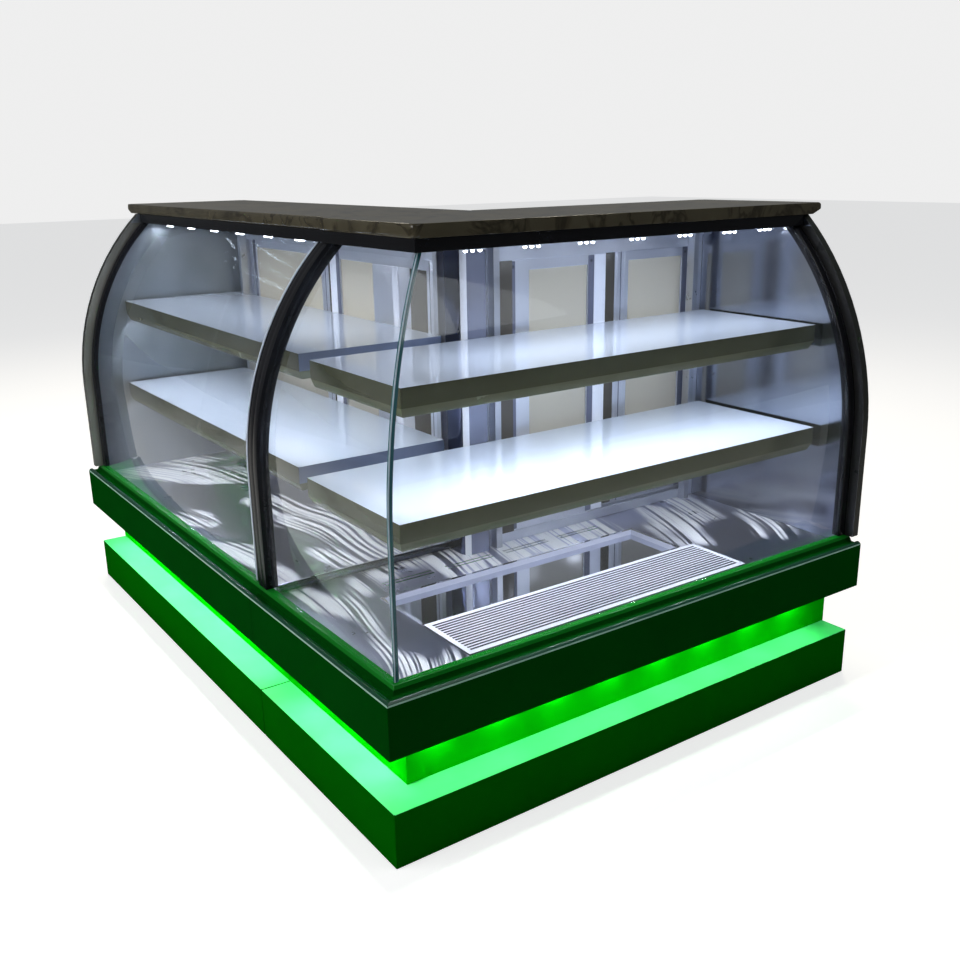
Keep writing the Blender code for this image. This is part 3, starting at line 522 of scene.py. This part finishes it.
for node in doors:
    low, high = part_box(node)
    on_wing = "wing" in node
    run = 1 if on_wing else 0
    front_face = low.x if on_wing else low.y
    for name, end, start, stop, made in sash_fittings[node.split("_")[-1]]:
        edge = (low, high)[end][run]
        near, far = [edge + start, front_face - strip_proud], [edge + stop, front_face]
        if on_wing:
            near.reverse()
            far.reverse()
        bar(node + "_" + name, (*near, low.z + 0.014), (*far, high.z - 0.013), 0.0003, node,
            made)
    for name, start, stop, near, made in wing_infill if node == "door_wing_inner" else ():
        bar(node + "_" + name, (low.x + near, low.y + start, low.z + lower_rail),
            (low.x + pane_recess, low.y + stop, high.z - upper_rail), 0.0003, node,
            made)
    far_inset = -0.0550 if "inner" in node else -0.0260
    for i, (edge, inset) in enumerate(((low[run], 0.0150), (high[run], far_inset))):
        at = [edge + inset, front_face - strip_proud]
        if on_wing:
            at.reverse()
        bpy.ops.object.select_all(action="DESELECT")
        bpy.ops.mesh.primitive_cylinder_add(vertices=16, radius=screw_radius, depth=0.0012,
                                            location=(*at, high.z - screw_drop),
                                            rotation=(0, math.pi / 2, 0) if on_wing else (math.pi / 2, 0, 0))
        screw = bpy.context.object
        screw.name = node + "_screw_" + str(i)
        bpy.ops.object.transform_apply(location=True, rotation=True, scale=True)
        head = screw.modifiers.new("ease", "BEVEL")
        head.width = 0.0004
        bpy.ops.object.modifier_apply(modifier="ease")
        settle(screw, node, (screw_steel,))

# A strip closes the gap beside each first sash, smoked on the front and silver on the
# wing, and a prouder band runs along the top of each frame under the header.
opening_low, opening_high = 0.412, 1.170
strip_face = 0.5757
for module, ends in (("front", (1.3895, 1.4110, 1.4512)), ("wing", (1.9690, 1.9905, 2.0312))):
    start = 0.6750 if module == "front" else 0.6810
    jamb_made = smoke_strip if module == "front" else sash_silver
    for name, (first, last, near, bottom, top_edge, made) in {
        "jamb_strip": (start, 0.7340, strip_face, opening_low, opening_high, jamb_made),
        "step_left": (start, ends[0], 0.5715, 1.203, 1.2397, frame_silver),
        "step_right": (ends[1], ends[2], 0.5715, 1.203, 1.2397, frame_silver),
    }.items():
        near_end, far_end = [first, near], [last, 0.5768]
        if module == "wing":
            near_end.reverse()
            far_end.reverse()
        bar("rear_frame_" + module + "_" + name, corner + Vector((*near_end, bottom)),
            corner + Vector((*far_end, top_edge)), 0.0004, "case", made)

# --------------------------------------------------------------------------- shelf supports and shelves
# Steel uprights with arms stand on the rear frames. Each shelf is a folded tray with
# a white gloss top, an upright polished lip and a return that slants in below; the lip is painted dark olive,
# the return paler grey and the wing lips' front-facing ends slate, as painted reflections on the steel.
upright_steel = finish("upright_steel", (0.62, 0.64, 0.70), (0.52, 0.54, 0.60), 0.3, 1.0, grain=20)
for name in ("front_left", "front_right", "wing_left", "wing_right"):
    eased("shelf_support_" + name, "upright", 0.0010, (upright_steel,))

shelf_white = finish("shelf_white", (0.76, 0.84, 0.97), (0.70, 0.79, 0.93), 0.07, grain=3, relief=0.01)
shelf_white.node_tree.nodes["Principled BSDF"].inputs["Coat Weight"].default_value = 0.7
shelf_white.node_tree.nodes["Principled BSDF"].inputs["Coat Roughness"].default_value = 0.03
# Painted reflections on the polished lip: dark olive on its face, paler grey on its return, slate on the
# wing's front-facing ends.
end_slate = finish("end_slate", (0.16, 0.20, 0.31), (0.10, 0.13, 0.22), 0.20, grain=5)
lip_painted_reflection = finish("lip_painted_reflection", (0.082, 0.090, 0.038), (0.052, 0.058, 0.026), 0.16, 0.25, grain=5,
                   stretch=(1, 1, 2))
return_painted_reflection = finish("return_painted_reflection", (0.19, 0.20, 0.12), (0.12, 0.13, 0.08), 0.25, 0.3, grain=11)
for module in ("front", "wing"):
    for tier in ("lower", "upper"):
        eased("shelf_" + module + "_" + tier, "tray", 0.0012,
              (shelf_white, lip_painted_reflection, return_painted_reflection, end_slate),
              lambda face: 0 if face.normal.z > 0.6 else 2 if face.normal.z < -0.2 else
              3 if module == "wing" and face.normal.y < -0.6 else 1, merge=False)

# --------------------------------------------------------------------------- end panels
# Polished steel plates close both ends. Inside they mirror the shelves; their front
# rim follows the glass and stands a little proud of it, its edge faces painted near black as a painted
# reflection of the dim room.
mirror_steel = rolled_steel("mirror_steel", (0.38, 0.41, 0.48), (0.28, 0.30, 0.36), 0.16, 0.08, 3, 0.10)
cloudy_steel = rolled_steel("cloudy_steel", (0.34, 0.37, 0.41), (0.22, 0.25, 0.27), 0.42, 0.08, 3, 0.10)
# The plates' edge faces are painted near black: a painted reflection of the dim room.
rim_painted_dark = finish("rim_painted_dark", (0.040, 0.042, 0.036), (0.012, 0.013, 0.011), 0.25, 0.3, grain=16, shine=0.3)
eased("end_panel_right", "plate", 0.0012, (mirror_steel, rim_painted_dark),
      lambda face: int(abs(face.normal.x) < 0.6), angle=50)
eased("end_panel_left", "plate", 0.0012, (cloudy_steel, rim_painted_dark),
      lambda face: int(abs(face.normal.y) < 0.6), angle=50)

# --------------------------------------------------------------------------- bent glass
# Three panes stand upright in the apron's lip and bend back over the shelves on one
# radius. Two of them meet in a mitre at the corner. Black ribs and strips cover the ends.
bend_start = 0.700
bend_radius = 0.755
bend_steps = 48


def bent_sheet(name, like, outward, thick, ends=None):
    """Bend a sheet as long as a frame node, or between two ends, parallel to the glass."""
    low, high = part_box(like)
    along_x = like in ("glass_front", "glass_strip_right")
    if ends:
        low[0 if along_x else 1], high[0 if along_x else 1] = ends
    run = high.x - low.x if along_x else high.y - low.y
    middle = (low + high) / 2
    upright = bend_start - low.z
    face = corner - Vector((outward, outward, 0))
    at = (middle.x, face.y, low.z + upright / 2) if along_x else (face.x, middle.y, low.z + upright / 2)
    bpy.ops.object.select_all(action="DESELECT")
    bpy.ops.mesh.primitive_plane_add(size=1, location=at,
                                     rotation=(math.pi / 2, 0, 0 if along_x else -math.pi / 2))
    sheet = bpy.context.object
    sheet.name = name
    sheet.scale = (run, upright, 1)
    bpy.ops.object.transform_apply(location=True, rotation=True, scale=True)
    for vert in sheet.data.vertices:
        vert.select = vert.co.z > bend_start - 0.001
    for edge in sheet.data.edges:
        edge.select = all(sheet.data.vertices[i].select for i in edge.vertices)
    for poly in sheet.data.polygons:
        poly.select = False
    radius = bend_radius + outward
    sweep = math.asin((high.z - bend_start) / radius) + 0.08
    pivot = corner + Vector((bend_radius, bend_radius, bend_start))
    bpy.ops.object.mode_set(mode="EDIT")
    bpy.ops.mesh.select_mode(type="EDGE")
    bpy.ops.mesh.spin(steps=bend_steps, angle=sweep if along_x else -sweep,
                      center=(middle.x, pivot.y, pivot.z) if along_x else (pivot.x, middle.y, pivot.z),
                      axis=(1, 0, 0) if along_x else (0, 1, 0))
    bpy.ops.object.mode_set(mode="OBJECT")
    wall = sheet.modifiers.new("wall", "SOLIDIFY")
    wall.thickness = thick
    wall.offset = -1
    bpy.ops.object.modifier_apply(modifier="wall")
    trim(sheet, (0, 0, high.z), (0, 0, 1))
    return sheet


def trim(piece, at, normal, away=True):
    """Saw off all beyond a plane and close the cut, or only score a line along it."""
    bpy.ops.object.mode_set(mode="EDIT")
    bpy.ops.mesh.select_all(action="SELECT")
    bpy.ops.mesh.bisect(plane_co=at, plane_no=normal, use_fill=away, clear_outer=away)
    bpy.ops.object.mode_set(mode="OBJECT")


def arris(piece, ease):
    """Take the sharp arris off the edges and shade the bend smooth."""
    edge = piece.modifiers.new("arris", "BEVEL")
    edge.width = ease
    edge.segments = 2
    edge.limit_method = "ANGLE"
    edge.angle_limit = math.radians(40)
    bpy.ops.object.modifier_apply(modifier="arris")
    bpy.ops.object.shade_smooth_by_angle(angle=math.radians(30))


clear = finish("clear_glass", (0.90, 0.95, 0.97), (0.84, 0.90, 0.93), 0.03, 1.0, grain=3)
clear_tree = clear.node_tree
facing = clear_tree.nodes.new("ShaderNodeLayerWeight")
facing.inputs["Blend"].default_value = 0.5
glance = clear_tree.nodes.new("ShaderNodeMath")
glance.operation = "POWER"
glance.inputs[1].default_value = 4.5
mirrored = clear_tree.nodes.new("ShaderNodeMath")
mirrored.operation = "MULTIPLY_ADD"
mirrored.inputs[1].default_value = 0.80
mirrored.inputs[2].default_value = 0.035
clear_tree.links.new(facing.outputs["Facing"], glance.inputs[0])
clear_tree.links.new(glance.outputs["Value"], mirrored.inputs[0])
clear_tree.links.new(mirrored.outputs["Value"], clear_tree.nodes["Principled BSDF"].inputs["Alpha"])
# Beside the mitre the glass's own teal edge tint is painted on where refraction shows it, and along the mitre
# runs a painted highlight.
edge_teal = finish("glass_edge", (0.050, 0.170, 0.190), (0.020, 0.090, 0.110), 0.12, grain=20)
mitre_painted_highlight = finish("glass_mitre_painted_highlight", (0.75, 0.85, 0.98), (0.45, 0.60, 0.68), 0.10, grain=30)
mitre_bright = 0.0014
mitre_teal = 0.0046
glass_thick = 0.008
mitre_normal = Vector((1, -1, 0)).normalized()
for node, cut in (("glass_front", -1), ("glass_side", 1), ("glass_wing", 0)):
    pane = bent_sheet(node + "_pane", node, 0.0, glass_thick)
    if cut:
        trim(pane, corner - mitre_normal * cut * 0.0003, mitre_normal * cut)
        trim(pane, corner - mitre_normal * cut * mitre_bright, mitre_normal * cut, False)
        trim(pane, corner - mitre_normal * cut * mitre_teal, mitre_normal * cut, False)
    arris(pane, 0.0008)

    def pane_zone(face):
        """0 clear, 1 teal beside the mitre, the glass's edge tint painted where refraction shows it, 2 a
        painted highlight along it.
        """
        inside = abs((face.center - corner).dot(mitre_normal)) if cut else 1
        return 2 if inside < mitre_bright else int(inside < mitre_teal)

    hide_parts(node)
    settle(pane, "case", (clear, edge_teal, mitre_painted_highlight), pane_zone)

rib_black = finish("rib_black", (0.010, 0.010, 0.013), (0.004, 0.004, 0.006), 0.25, grain=10, shine=0.25)
for node, outward, thick in (
    ("seam_rib_front", 0.009, 0.032), ("seam_rib_wing", 0.009, 0.032),
    ("glass_strip_right", 0.003, 0.023), ("glass_strip_left", 0.003, 0.016),
):
    cover = bent_sheet(node + "_cover", node, outward, thick)
    arris(cover, 0.0035)
    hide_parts(node)
    settle(cover, "case", (rib_black,))

# A thin sheet lies inside each end panel's rim, outside the glass, as a painted reflection of the room on the
# steel: near black on the right, mottled grey on the left. Clear gasket strips lie on the pane beside the
# rib.
rim_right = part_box("end_panel_right")[0].x
rim_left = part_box("end_panel_left")[0].y
# These sheets are painted reflections: near black on the right, mottled grey on the left.
rim_reflection_black = finish("rim_reflection_black", (0.030, 0.030, 0.030), (0.012, 0.012, 0.012), 0.30, grain=12, shine=0.3)
rim_reflection_grey = finish("rim_reflection_grey", (0.36, 0.36, 0.32), (0.10, 0.10, 0.09), 0.35, 0.3, grain=6,
                    stretch=(1, 1, 0.4))
for name, like, ends, made in (
    ("rim_liner_right", "glass_strip_right", (rim_right - 0.0009, rim_right - 0.0002), rim_reflection_black),
    ("rim_liner_left", "glass_strip_left", (rim_left - 0.0009, rim_left - 0.0002), rim_reflection_grey),
):
    settle(bent_sheet(name, like, 0.0295, 0.0260, ends), "case", (made,))
gasket_clear = finish("gasket_clear", (0.66, 0.74, 0.88), (0.46, 0.52, 0.64), 0.12, grain=30)
seam_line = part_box("seam_rib_wing")[1].y
for i, (offset, wide, made) in enumerate(((0.0120, 0.0060, gasket_clear), (0.0220, 0.0040, rib_black),
                                         (0.0300, 0.0070, gasket_clear))):
    strip = bent_sheet("seam_gasket_" + str(i), "glass_wing", 0.0004, glass_thick + 0.0008,
                       (seam_line + offset, seam_line + offset + wide))
    settle(strip, "case", (made,))

# --------------------------------------------------------------------------- header and shelf lamps
# A black gloss fascia hangs under the worktop. Behind it a rail carries modules of
# three lamp lenses at an even pitch, which light the shelves from above.
header_black = finish("header_black", (0.008, 0.008, 0.010), (0.004, 0.004, 0.005), 0.20, grain=8, shine=0.2)
for node in ("header_front", "header_wing"):
    eased(node, "fascia", 0.0015, (header_black,))
rail_silver = finish("rail_silver", (0.70, 0.73, 0.80), (0.62, 0.65, 0.72), 0.3, 0.9, grain=20)
for node in ("light_rail_front", "light_rail_wing"):
    eased(node, "channel", 0.0012, (rail_silver,))

cool = (0.80, 0.87, 1.0)
lamp_white = glowing("lamp_lens", (0.86, 0.91, 1.0), 14.0)
module_white = finish("lamp_module", (0.85, 0.88, 0.94), (0.78, 0.81, 0.88), 0.4, grain=60)
rail_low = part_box("light_rail_front")[0].z
lens_gap = 0.020
modules = [("front", 0.416 + i * 0.168, 0.298) for i in range(6)] + [("front", 1.398, 0.298)]
modules += [("wing", 0.298, 0.938 + i * 0.203) for i in range(6)]
for i, (run, x, y) in enumerate(modules):
    step = Vector((lens_gap, 0, 0)) if run == "front" else Vector((0, lens_gap, 0))
    middle = corner + Vector((x, y, rail_low - 0.0070))
    half = Vector((0.033, 0.006, 0.0070)) if run == "front" else Vector((0.006, 0.033, 0.0070))
    bar("lamp_module_" + run + "_" + str(i), middle - half, middle + half, 0.001, "case",
        module_white)
    for k in (-1, 0, 1):
        spot = middle + step * k - Vector((0, 0, 0.0085))
        tag = run + "_" + str(i) + "_" + str(k + 1)
        lens("lamp_lens_" + tag, spot, 0.0048, 0.003, lamp_white)
        below = spot - Vector((0, 0, 0.006))
        lamp("header_lamp_" + tag, below, below - Vector((0, 0, 1)), 0.15, 0.008, 0.008, cool)

# Under each shelf the same modules are stuck behind the lip and light what lies below.
# Those of the front stand further back and shine brighter than those of the wing.
shelf_glow = glowing("shelf_lens", (0.86, 0.91, 1.0), 8.0)
skin = 0.0045
for module in ("front", "wing"):
    deep, powers = (0.060, (0.95, 0.55)) if module == "front" else (0.045, (0.62, 0.45))
    for tier, power in zip(("upper", "lower"), powers):
        low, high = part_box("shelf_" + module + "_" + tier)
        run = 0 if module == "front" else 1
        count = 6 if module == "front" else 7
        for i in range(count):
            along = low[run] + (i + 0.5) * (high[run] - low[run]) / count
            behind = low[1 - run] + deep
            at = Vector((along, behind) if module == "front" else (behind, along)).to_3d()
            at.z = high.z - skin - 0.0035
            half = Vector((0.033, 0.006, 0.0035)) if module == "front" else Vector((0.006, 0.033, 0.0035))
            tag = module + "_" + tier + "_" + str(i)
            bar("shelf_module_" + tag, at - half, at + half, 0.001, "case", module_white)
            for k in (-1, 0, 1):
                offset = Vector((lens_gap * k, 0, 0)) if module == "front" else Vector((0, lens_gap * k, 0))
                lens("shelf_lens_" + tag + "_" + str(k + 1), at + offset - Vector((0, 0, 0.0045)),
                     0.005, 0.003, shelf_glow)
            below = at - Vector((0, 0, 0.012))
            size = (0.05, 0.01) if module == "front" else (0.01, 0.05)
            lamp("shelf_lamp_" + tag, below, below - Vector((0, 0, 1)), power, *size, cool)

# --------------------------------------------------------------------------- worktops
# Two slabs of polished brown stone with bullnosed edges, jointed over the seam.
# Dark veins and pale flecks run through them; the edges are painted darker as painted shade.
stone = finish("brown_stone", (0.165, 0.140, 0.085), (0.075, 0.062, 0.038), 0.14, grain=7, shine=0.35)
tree = stone.node_tree
veins = tree.nodes.new("ShaderNodeTexNoise")
veins.inputs["Scale"].default_value = 5
veins.inputs["Detail"].default_value = 8
veins.inputs["Distortion"].default_value = 1.6
crack = tree.nodes.new("ShaderNodeValToRGB")
crack.color_ramp.elements[0].position = 0.46
crack.color_ramp.elements[0].color = (1, 1, 1, 1)
crack.color_ramp.elements[1].position = 0.54
crack.color_ramp.elements[1].color = (1, 1, 1, 1)
dark_vein = crack.color_ramp.elements.new(0.50)
dark_vein.color = (0.30, 0.27, 0.23, 1)
darken = tree.nodes.new("ShaderNodeMix")
darken.data_type = "RGBA"
darken.blend_type = "MULTIPLY"
darken.inputs[0].default_value = 0.85
tree.links.new(tree.nodes["Texture Coordinate"].outputs["Object"], veins.inputs["Vector"])
tree.links.new(veins.outputs["Fac"], crack.inputs["Fac"])
tree.links.new(tree.nodes["Mix"].outputs[2], darken.inputs[6])
tree.links.new(crack.outputs["Color"], darken.inputs[7])
tree.links.new(darken.outputs[2], tree.nodes["Principled BSDF"].inputs["Base Color"])
# The edge faces get a darker copy of the stone: painted shade under the lit top.
stone_painted_shade = stone.copy()
stone_painted_shade.name = "brown_stone_painted_shade"
stone_painted_shade.node_tree.nodes["Mix"].inputs[6].default_value = (0.038, 0.032, 0.020, 1)
stone_painted_shade.node_tree.nodes["Mix"].inputs[7].default_value = (0.092, 0.080, 0.048, 1)
for node in ("worktop_corner", "worktop_wing"):
    eased(node, "slab", 0.0012, (stone, stone_painted_shade),
          lambda face: int(face.normal.z < 0.85), angle=20)

# --------------------------------------------------------------------------- cooling
# The coil and fan under the grille cool the deck; the condensing unit is in the wing.
fin_silver = finish("fin_silver", (0.66, 0.68, 0.70), (0.50, 0.52, 0.54), 0.35, 1.0, grain=50)
shroud_black = finish("shroud_black", (0.030, 0.030, 0.032), (0.018, 0.018, 0.020), 0.5, grain=60, relief=0.1)
enamel_black = finish("enamel_black", (0.022, 0.022, 0.024), (0.012, 0.012, 0.013), 0.25, grain=30,
                      relief=0.05)
for node in ("evaporator_coil", "condenser_coil", "evaporator_fan", "condenser_fan"):
    eased(node, "metal", 0, (fin_silver,))
for node in ("evaporator_fan_shroud", "condenser_fan_shroud"):
    eased(node, "moulding", 0.0005, (shroud_black,))
eased("compressor", "shell", 0, (enamel_black,))

# --------------------------------------------------------------------------- staff side
# Galvanised louvres cover the machine space. A control box carries the thermostat
# knob and the mains switch, and the supply cord's gland is beside it.
zinc = finish("zinc", (0.58, 0.60, 0.63), (0.40, 0.42, 0.45), 0.38, 1.0, grain=35)
for node in ("louvre_front", "louvre_wing"):
    eased(node, "plate", 0.0004, (zinc,))
box_black = finish("box_black", (0.035, 0.035, 0.038), (0.022, 0.022, 0.024), 0.42, grain=120, relief=0.15)
for node in ("control_panel", "thermostat_knob", "cord_gland"):
    eased(node, "moulding", 0.0008, (box_black,))
rocker_red = finish("rocker_red", (0.55, 0.020, 0.015), (0.42, 0.014, 0.010), 0.25, grain=70)
eased("power_switch", "rocker", 0.0006, (rocker_red,))
